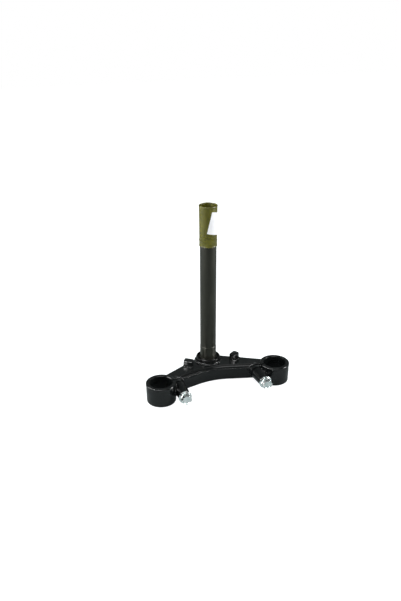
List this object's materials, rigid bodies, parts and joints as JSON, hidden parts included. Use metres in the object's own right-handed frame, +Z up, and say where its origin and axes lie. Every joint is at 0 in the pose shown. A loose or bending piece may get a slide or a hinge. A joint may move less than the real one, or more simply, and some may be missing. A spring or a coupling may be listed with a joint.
{
  "type": "motorcycle lower triple clamp",
  "caption": "Lower triple clamp with split fork tube clamps, a welded box bridge, pinch bolts, steering stops and a tall steering stem with a plastic thread sleeve.",
  "frame": {"origin": "on the steering axis, in the flat underside of the clamp", "axes": "X from fork to fork, the forks on the -Y side of the stem, +Z up along the stem"},
  "size_m": [0.237, 0.1158, 0.2878],
  "materials": {
    "black_paint": "gloss black paint",
    "stem_steel": "dark satin coating on steel",
    "bolt_zinc": "bright zinc plating",
    "washer_steel": "dull",
    "seal_rubber": "matt",
    "sleeve_plastic": "olive, slightly translucent",
    "label_paper": "matt white"
  },
  "bodies": {
    "root": {"upper_pressing": "black_paint", "lower_pressing": "black_paint", "stem_hub": "black_paint", "steering_stem": "stem_steel", "left_clamp_ring": "black_paint", "right_clamp_ring": "black_paint", "left_front_lug": "black_paint", "right_front_lug": "black_paint", "left_rear_lug": "black_paint", "right_rear_lug": "black_paint", "left_pinch_bolt": "bolt_zinc", "right_pinch_bolt": "bolt_zinc", "left_stop_block": "black_paint", "right_stop_block": "black_paint", "seal_washer": "washer_steel", "dust_seal": "seal_rubber", "front_seam_weld": "black_paint", "left_back_seam_weld": "black_paint", "right_back_seam_weld": "black_paint", "thread_sleeve": "sleeve_plastic", "paper_label": "label_paper"}
  },
  "joints": []
}
